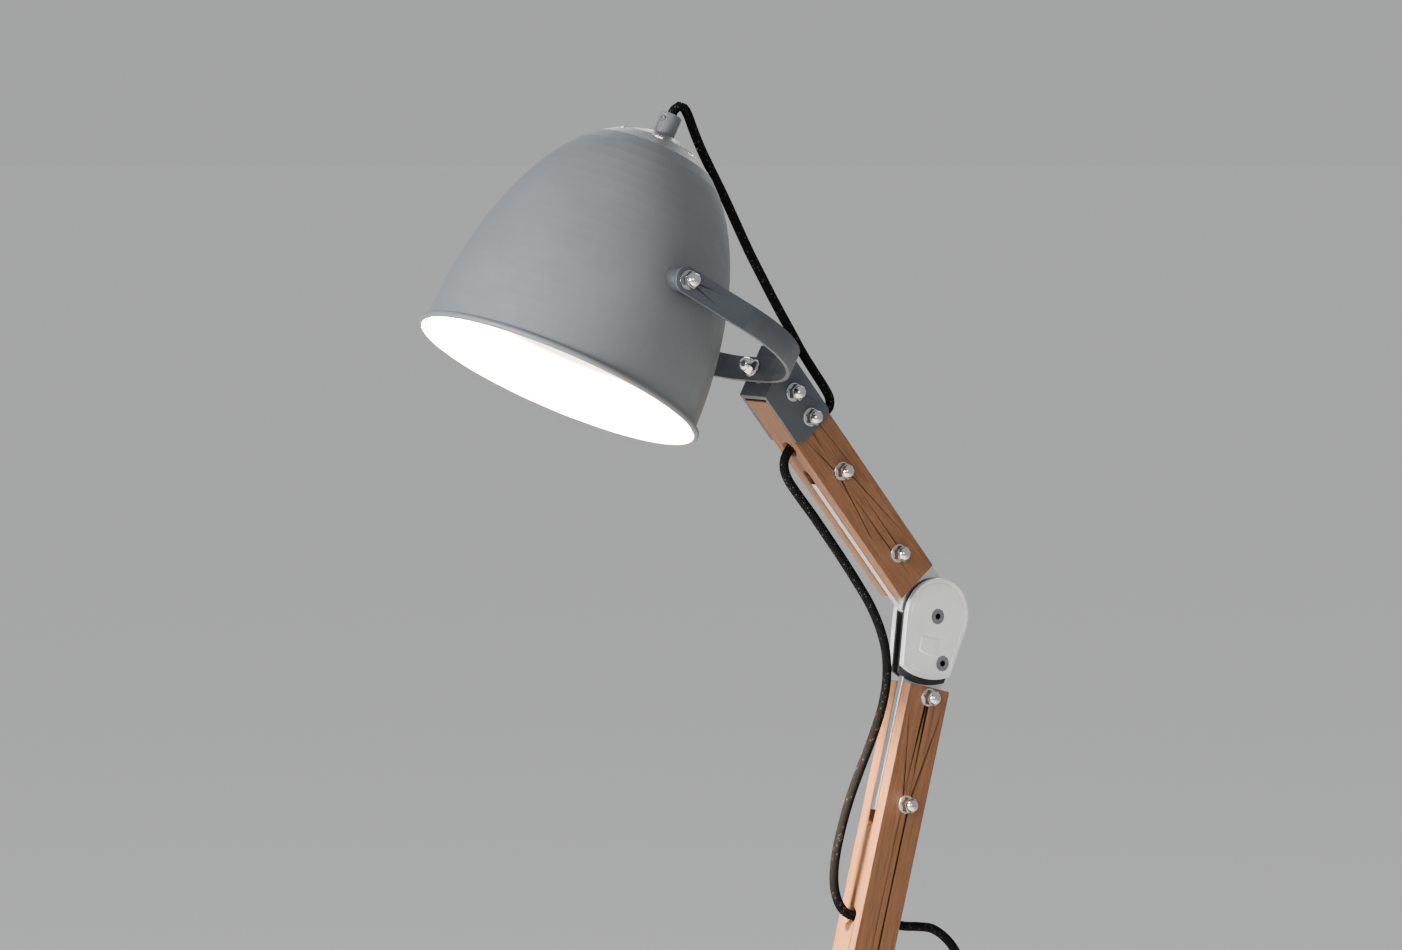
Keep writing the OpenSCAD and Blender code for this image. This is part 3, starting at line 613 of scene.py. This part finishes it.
@dataclass
class Studio:
    """Pale floor, soft lights and the lamp's own light."""

    floor_radius: float = 150.0
    floor_sides: int = 96
    floor_drop: float = 0.4 * MM
    floor_colour: Colour = (0.78, 0.78, 0.775)
    air: Colour = (0.56, 0.565, 0.57)
    lights: tuple[SoftLight, ...] = (
        SoftLight("key", (-3.1, -0.2, 1.75), 1.1, 280.0, (0.96, 0.98, 1.0)),
        SoftLight("front", (-2.0, -2.7, 2.2), 1.0, 40.0, (1.0, 0.99, 0.97)),
        SoftLight("back", (2.0, 2.2, 2.5), 1.2, 40.0, (1.0, 0.98, 0.95)))
    bulb_below_axis: float = 42 * MM
    bulb_size: float = 60 * MM
    bulb_power: float = 70.0
    bulb_colour: Colour = (1.0, 0.76, 0.50)

    def build(self) -> None:
        """Make the floor, the air and the lights."""
        self.floor()
        self.world()
        for light in self.lights:
            light.build(tuple(ELBOW))
        self.bulb_light()

    def floor(self) -> None:
        """Make the floor, just under the lamp's feet."""
        bm = bmesh.new()
        bmesh.ops.create_circle(bm, cap_ends=True, segments=self.floor_sides,
                                radius=self.floor_radius)
        bmesh.ops.translate(bm, verts=bm.verts, vec=(0.0, 0.0, -self.floor_drop))
        finish = Moulded("studio_floor", self.floor_colour, 0.7, 30.0, 0.1 * MM)
        Maker.piece("studio_floor", bm, finish.material(), smooth=False)

    def world(self) -> None:
        """Make the air, which looks as bright as the far floor where it is seen itself."""
        world = bpy.data.worlds.new("studio")
        world.use_nodes = True
        tree = world.node_tree
        around = tree.nodes["Background"]
        around.inputs[0].default_value = (*self.air, 1.0)
        seen = tree.nodes.new("ShaderNodeBackground")
        far = [a * f for a, f in zip(self.air, self.floor_colour)]
        seen.inputs[0].default_value = (*far, 1.0)
        ray = tree.nodes.new("ShaderNodeLightPath")
        mix = tree.nodes.new("ShaderNodeMixShader")
        tree.links.new(ray.outputs["Is Camera Ray"], mix.inputs[0])
        tree.links.new(around.outputs[0], mix.inputs[1])
        tree.links.new(seen.outputs[0], mix.inputs[2])
        tree.links.new(mix.outputs[0], tree.nodes["World Output"].inputs[0])
        bpy.context.scene.world = world

    def bulb_light(self) -> None:
        """Add the light that leaves the shade's mouth, and let it move with the shade."""
        place = TILT - SHADE_UP * self.bulb_below_axis
        glow = SoftLight("bulb_light", tuple(place), self.bulb_size, self.bulb_power,
                         self.bulb_colour)
        light = glow.build(tuple(place - SHADE_UP))
        light.data.shape = "DISK"
        light.parent = frame["bodies"][Body.SHADE.value]
        light.matrix_parent_inverse = light.parent.matrix_world.inverted()


@dataclass(frozen=True)
class Stretch:
    """One stretch of the cord between two bodies, by its route in mm from the elbow."""

    name: str
    node: str
    start: Body
    end: Body
    lay: Lay
    far_end: FarEnd
    route: tuple[tuple[float, ...], ...]


NECK = Stretch("cord_neck_braid", "cord_shade", Body.SHADE, Body.YOKE, Lay.LOOSE, FarEnd.OBJECT, (
    (-220.6, 340.8), (-217.2, 347.4), (-214.6, 351.6), (-211, 354), (-207, 352.8), (-204, 348.6),
    (-200.8, 341.5), (-196.5, 332), (-191, 321.5), (-184, 309.5), (-176, 296), (-165.5, 277),
    (-154.5, 257), (-143, 238), (-131.5, 219.5), (-120, 202)))
HEAD = Stretch("cord_head_braid", "cord_head", Body.YOKE, Body.UPPER, Lay.LOOSE, FarEnd.OBJECT, (
    (-119.9, 201.85), (-109, 185.3), (-99, 172), (-91.4, 162), (-87, 154.5), (-87.2, 148.8),
    (-92, 144.3), (-99.4, 138.2), (-107.2, 131.9)))
BEND = Stretch("cord_elbow_braid", "cord_elbow", Body.UPPER, Body.LOWER, Lay.HANGING,
               FarEnd.OBJECT, (
    (-107.2, 131.9), (-115, 125.6), (-121, 120.2), (-124.5, 114.5), (-124.8, 107.5),
    (-121.5, 100), (-112.5, 88.5), (-101, 75), (-89, 60), (-76, 43.5), (-63, 26), (-52, 10),
    (-43.5, -7), (-38.5, -24), (-38, -43), (-42, -62), (-50, -82), (-60, -103), (-69, -123),
    (-76, -143), (-80.5, -160), (-82.5, -175), (-81.5, -187), (-77.5, -197), (-71.5, -203.3),
    (-64.4, -205.9), (-54.7, -208.4)))
DROP = Stretch("cord_drop_braid", "cord_drop", Body.LOWER, Body.BASE, Lay.HANGING,
               FarEnd.FITTING, (
    (-54.7, 0, -208.4), (-45, 0, -210.9), (-35.3, 0, -213.5), (-22, 0, -217), (-10, 0, -218.5),
    (2, 0, -221), (13, 0, -228), (22, 0, -238), (29, 0, -252), (33, 0, -268), (35, 0, -290),
    (36, 0, -330), (36.5, 0, -430), (37, 0, -620), (37, 0, -860), (37, 0, -1030),
    (37, 0.5, -1068), (36, 3, -1092), (33, 8.5, -1109), (27.5, 16.5, -1121.5),
    (19.5, 27, -1128.5), (9.5, 38, -1131), (-1, 49, -1131), (-12, 60, -1129.4),
    (-25, 73, -1125.6)))


@dataclass
class FloorRoute:
    """Route on the floor in mm: from the foot switch through a two-layer coil to the plug."""

    switch_at: tuple[float, float] = (205, 117)
    switch_reach: float = 61.0
    leaving: tuple[tuple[float, float], ...] = (
        (0, 9.5), (5, 9.5), (14, 7.7), (24, 5), (36, 3.4), (46, 3.3), (57, 3.3))
    coil_at: tuple[float, float] = (82, 180)
    coil_outer: float = 42.5
    coil_step: float = 6.5
    coil_turns: int = 3
    coil_low: float = 3.3
    coil_high: float = 9.9
    points_a_turn: int = 24
    first_angle: float = 45.0
    last_angle: float = 55.0
    climb_points: int = 8
    to_plug: tuple[Point, ...] = (
        (67.5, 220.9, 9), (62, 220, 7.6), (57.2, 219.2, 7), (49.5, 217.8, 7))

    def coil(self) -> list[Vector]:
        """Return the coil's points: inwards on the floor, then outwards on top of it."""
        centre = Vector((*self.coil_at, 0.0))
        inward = self.coil_turns * self.points_a_turn
        depth = self.coil_step * (self.coil_turns - 1)
        extra = round(self.points_a_turn * self.last_angle / 360)
        points = []
        for i in range(1, 2 * inward + extra + 1):
            angle = math.radians(self.first_angle + 360 * i / self.points_a_turn)
            if i <= inward:
                radius = self.coil_outer - depth * i / inward
            else:
                radius = self.coil_outer - depth * (1 - min(1.0, (i - inward) / inward))
            climb = (i - inward + self.climb_points / 2) / self.climb_points
            climb = min(1.0, max(0.0, climb))
            eased = climb * climb * (3 - 2 * climb)
            height = self.coil_low + (self.coil_high - self.coil_low) * eased
            ring = Vector((math.cos(angle) * radius, math.sin(angle) * radius, height))
            points.append(centre + ring)
        return points

    def points(self) -> list[Vector]:
        """Return the whole route in metres."""
        way = Vector((-math.sqrt(0.5), math.sqrt(0.5), 0.0))
        start = Vector((*self.switch_at, 0.0))
        route = [start + way * (self.switch_reach + t) + Vector((0, 0, z)) for t, z in self.leaving]
        route += self.coil()
        route += [Vector(p) for p in self.to_plug]
        return [p * MM for p in route]


@dataclass
class CoilTie:
    """Fabric band round one side of the coil."""

    coil_at: tuple[float, float] = (82, 180)
    inner: float = 25.3 * MM
    outer: float = 46.7 * MM
    height: float = 12.6 * MM
    middle: float = 7.1 * MM
    width: float = 9 * MM
    corner: float = 4 * MM
    thickness: float = 0.7 * MM
    angle: float = -60.0

    def build(self) -> bpy.types.Object:
        """Return the band."""
        bm = bmesh.new()
        bmesh.ops.create_grid(bm, x_segments=1, y_segments=1, size=0.5)
        bmesh.ops.scale(bm, vec=(self.outer - self.inner, self.height, 1.0), verts=bm.verts)
        bmesh.ops.bevel(bm, geom=list(bm.verts), offset=self.corner, segments=5, profile=0.5,
                        affect="VERTICES", material=-1)
        bmesh.ops.delete(bm, geom=list(bm.faces), context="FACES_ONLY")
        made = bmesh.ops.extrude_edge_only(bm, edges=list(bm.edges))
        new = [g for g in made["geom"] if isinstance(g, bmesh.types.BMVert)]
        bmesh.ops.translate(bm, verts=new, vec=(0.0, 0.0, self.width))
        bmesh.ops.solidify(bm, geom=list(bm.faces), thickness=self.thickness)
        across = ((self.inner + self.outer) / 2, self.width / 2, self.middle)
        place = (Matrix.Translation(Vector((*self.coil_at, 0.0)) * MM)
                 @ Matrix.Rotation(math.radians(self.angle), 4, "Z")
                 @ Matrix.Translation(across)
                 @ Matrix.Rotation(math.radians(90), 4, "X"))
        bmesh.ops.transform(bm, matrix=place, verts=bm.verts)
        fabric = Moulded("tie_fabric", (0.02, 0.02, 0.022), 0.85, 2600.0, 0.2 * MM)
        return Maker.piece("cord_tie", bm, fabric.material())


@dataclass
class Cord:
    """The braided cord: five stretches with a foot switch, a coil and a plug."""

    diameter: float = 6.5 * MM
    sides: int = 14
    step: float = 3.2 * MM
    most_steps: int = 60
    least_gap: float = 1e-6
    stretches: tuple[Stretch, ...] = (NECK, HEAD, BEND, DROP)
    floor: FloorRoute = field(default_factory=FloorRoute)
    slot: str = "black_textile_cord"
    switch_parts: tuple[str, ...] = ("switch_base", "switch_cover", "switch_button",
                                     "switch_contact_block", "switch_strain_reliefs")
    plug_parts: tuple[str, ...] = ("plug_body", "plug_pins", "plug_strain_relief")

    @staticmethod
    def from_elbow(route: tuple[tuple[float, ...], ...]) -> list[Vector]:
        """Return a route given in mm from the elbow's axis as points in metres."""
        flat = [(p[0], 0.0, p[1]) if len(p) == 2 else p for p in route]
        return [ELBOW + Vector(p) * MM for p in flat]

    @staticmethod
    def between(a: Vector, b: Vector, start: float, end: float, t: float) -> Vector:
        """Return the point at t of the line that is at a at start, and at b at end."""
        return a * ((end - t) / (end - start)) + b * ((t - start) / (end - start))

    def smooth(self, points: list[Vector]) -> list[Vector]:
        """Return a route resampled along a centripetal curve through its points."""
        padded = [2 * points[0] - points[1], *points, 2 * points[-1] - points[-2]]
        fine = [points[0].copy()]
        for four in zip(padded, padded[1:], padded[2:], padded[3:]):
            knots = [0.0]
            for a, b in zip(four, four[1:]):
                knots.append(knots[-1] + max(self.least_gap, (b - a).length) ** 0.5)
            count = round((four[2] - four[1]).length / self.step)
            count = max(1, min(self.most_steps, count))
            for k in range(1, count + 1):
                t = knots[1] + (knots[2] - knots[1]) * k / count
                row = list(four)
                for reach in (1, 2):
                    row = [self.between(a, b, knots[i], knots[i + reach], t)
                           for i, (a, b) in enumerate(zip(row, row[1:]))]
                fine.append(self.between(row[0], row[1], knots[1], knots[2], t))
        return fine

    def tube(self, name: str, route: list[Vector],
             material: Material) -> tuple[bpy.types.Object, list[Vector]]:
        """Sweep the braided sleeve along a route.

        Args:
            name: The piece's name.
            route: Its points in metres.
            material: The braid.

        Returns:
            The piece and the smooth path that it follows.
        """
        path = self.smooth(route)
        bm = bmesh.new()
        layer = bm.loops.layers.uv.new("braid")
        tangent = (path[1] - path[0]).normalized()
        side = Vector((0.0, 1.0, 0.02)) if abs(tangent.y) < 0.8 else Vector((1.0, 0.0, 0.0))
        ring = bmesh.ops.create_circle(bm, cap_ends=False, segments=self.sides,
                                       radius=self.diameter / 2)["verts"]
        local = [v.co.copy() for v in ring]
        first = ring
        travelled = 0.0
        for i, point in enumerate(path):
            tangent = (path[min(i + 1, len(path) - 1)] - path[max(i - 1, 0)]).normalized()
            side = (side - tangent * side.dot(tangent)).normalized()
            up = tangent.cross(side)
            if i:
                length = (point - path[i - 1]).length
                ring = self.sleeve(bm, layer, ring, travelled, travelled + length)
                travelled += length
            for vert, at in zip(ring, local):
                vert.co = point + side * at.x + up * at.y
        bm.faces.new(first)
        bm.faces.new(ring)
        return Maker.piece(name, bm, material), path

    def sleeve(self, bm: bmesh.types.BMesh, layer: bmesh.types.BMLayerItem, ring: list,
               low: float, high: float) -> list:
        """Add one short band of the sleeve with its UVs.

        Args:
            bm: The tube so far.
            layer: The braid's UV layer.
            ring: The vertices of the band's first end.
            low: The cord's length at that end.
            high: The cord's length at the other end.

        Returns:
            The vertices of the other end.
        """
        new = [bm.verts.new(v.co) for v in ring]
        for k in range(self.sides):
            after = (k + 1) % self.sides
            face = bm.faces.new((ring[k], ring[after], new[after], new[k]))
            marks = ((k, low), (k + 1, low), (k + 1, high), (k, high))
            for corner, (u, v) in zip(face.loops, marks):
                corner[layer].uv = (u / self.sides, v)
        return new

    def build(self) -> None:
        """Make every stretch of the cord."""
        braid = Braid("braided_sleeve").material()
        for part in self.stretches:
            piece, path = self.tube(part.name, self.from_elbow(part.route), braid)
            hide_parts(part.node)
            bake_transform(piece)
        piece, path = self.tube("cord_floor_braid", self.floor.points(), braid)
        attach(piece, Body.BASE.value)
        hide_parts("cord_tail", "cord_coil", "cord_end")
        tie = CoilTie(self.floor.coil_at).build()
        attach(tie, Body.BASE.value)


Finish = Paint | ShadePaint | Wood | Metal | SocketScrew | Moulded | Glow
Group = tuple[float, tuple[str, ...]]


@dataclass
class Dressing:
    """Finishes of every carried-over CAD node."""

    slate: Colour = (0.047, 0.055, 0.065)
    satin: Colour = (0.90, 0.905, 0.91)
    drawn: Colour = (0.70, 0.705, 0.71)
    shade_grey: Colour = (0.120, 0.129, 0.136)
    shade_white: Colour = (0.86, 0.85, 0.82)
    fine_edge: float = 0.3 * MM
    plate_edge: float = 0.4 * MM
    sheet_edge: float = 0.5 * MM
    wood_edge: float = 0.7 * MM

    def arms(self) -> list[tuple[Finish, list[Group]]]:
        """Return the finishes of the two wooden arms and their plates."""
        plate, wood = self.plate_edge, self.wood_edge
        return [
            (Wood("lower_arm_oak", LOWER_LEAN), [(wood, ("lower_arm_wood",))]),
            (Wood("upper_arm_oak", UPPER_LEAN), [(wood, ("upper_arm_wood",))]),
            (Metal("satin_plate", self.satin, 0.30, 0.45, LOWER_LEAN, 0.45),
             [(plate, ("elbow_cheek_near", "elbow_cheek_far"))]),
            (Metal("satin_foot_plate", self.satin, 0.30, 0.45, 0.0, 0.45),
             [(plate, ("base_cheek_near", "base_cheek_far"))]),
            (Metal("drawn_tongue", self.drawn, 0.28, 0.6, LOWER_LEAN),
             [(plate, ("lower_arm_foot_tongue", "lower_arm_head_tongue"))]),
            (Metal("drawn_upper_tongue", self.drawn, 0.28, 0.6, UPPER_LEAN),
             [(plate, ("upper_arm_tongue",))]),
            (Moulded("friction_fibre", (0.012, 0.012, 0.013), 0.55),
             [(0.0, ("elbow_friction_near", "elbow_friction_far", "base_friction_near",
                     "base_friction_far"))])]

    def fasteners(self) -> list[tuple[Finish, list[Group]]]:
        """Return the finishes of bolts, nuts, washers and screws."""
        fine = self.fine_edge
        return [
            (Metal("polished_fastener", (0.60, 0.605, 0.61), 0.08),
             [(fine, ("lower_arm_nuts", "upper_arm_nuts", "elbow_nuts", "base_hinge_nuts",
                      "shade_pivot_nuts", "swivel_nut", "lower_arm_bolts", "upper_arm_bolts",
                      "shade_pivot_screws", "swivel_bolt")),
              (0.0, ("base_post_screws", "neck_grub_screw", "plug_pins"))]),
            (SocketScrew("socket_screw", (0.36, 0.365, 0.37), head_face("elbow_screws")),
             [(0.0, ("elbow_screws", "base_hinge_screws"))]),
            (Metal("zinc_washer", (0.68, 0.68, 0.68), 0.26, 0.2),
             [(0.2 * MM, ("lower_arm_washers", "upper_arm_washers", "swivel_washers")),
              (0.0, ("bulb_cap",))]),
            (Metal("brass_fitting", (0.72, 0.55, 0.27), 0.25, 0.2),
             [(0.0, ("neck_nipple", "switch_contact_block"))])]

    def head(self) -> list[tuple[Finish, list[Group]]]:
        """Return the finishes of the shade, its yoke and what it holds."""
        fine = self.fine_edge
        return [
            (Paint("slate_powder_paint", self.slate, 0.48),
             [(self.sheet_edge, ("head_bracket", "base_cover", "base_post")),
              (self.plate_edge, ("yoke_strap",))]),
            (Paint("dark_satin_paint", (0.045, 0.048, 0.052), 0.4), [(fine, ("shade_spacers",))]),
            (Paint("collar_paint", (0.115, 0.123, 0.130), 0.45), [(fine, ("neck_collar",))]),
            (ShadePaint("shade_two_paints", self.shade_grey, self.shade_white),
             [(0.0, ("shade_shell",))]),
            (Moulded("glazed_holder", (0.80, 0.79, 0.75), 0.25, 300.0, 0.02 * MM),
             [(0.0, ("lampholder_cap", "lampholder_shell", "lampholder_insert"))]),
            (Glow("bulb_opal", (1.0, 0.86, 0.66), 14.0), [(0.0, ("bulb_glass",))])]

    def foot(self) -> list[tuple[Finish, list[Group]]]:
        """Return the finishes of the pad, the weight, the foot switch and the plug."""
        return [
            (Moulded("pad_rubber", (0.02, 0.02, 0.02), 0.8), [(0.0, ("base_pad",))]),
            (Moulded("cast_skin", (0.05, 0.05, 0.052), 0.7, 500.0, 0.3 * MM),
             [(0.0, ("base_weight",))]),
            (Moulded("black_moulding", (0.007, 0.007, 0.0075), 0.5, 1800.0, 0.05 * MM, 0.2),
             [(self.sheet_edge, ("switch_base", "switch_cover", "plug_body")),
              (0.0, ("switch_button", "switch_strain_reliefs", "plug_strain_relief"))])]

    def build(self) -> None:
        """Dress each CAD node that is shown."""
        for finish, groups in [*self.head(), *self.arms(), *self.fasteners(), *self.foot()]:
            material = finish.material()
            for edge, names in groups:
                for name in names:
                    Maker.dress(name, material, edge)
                    LOG.info("%s: %s", name, material.name)


def main() -> None:
    """Build the camera, the cord, the studio and the finishes, in that order."""
    logging.basicConfig(level=logging.INFO, format="%(name)s %(message)s")
    Camera().build()
    Cord().build()
    Studio().build()
    Dressing().build()


if __name__ == "__main__":
    main()
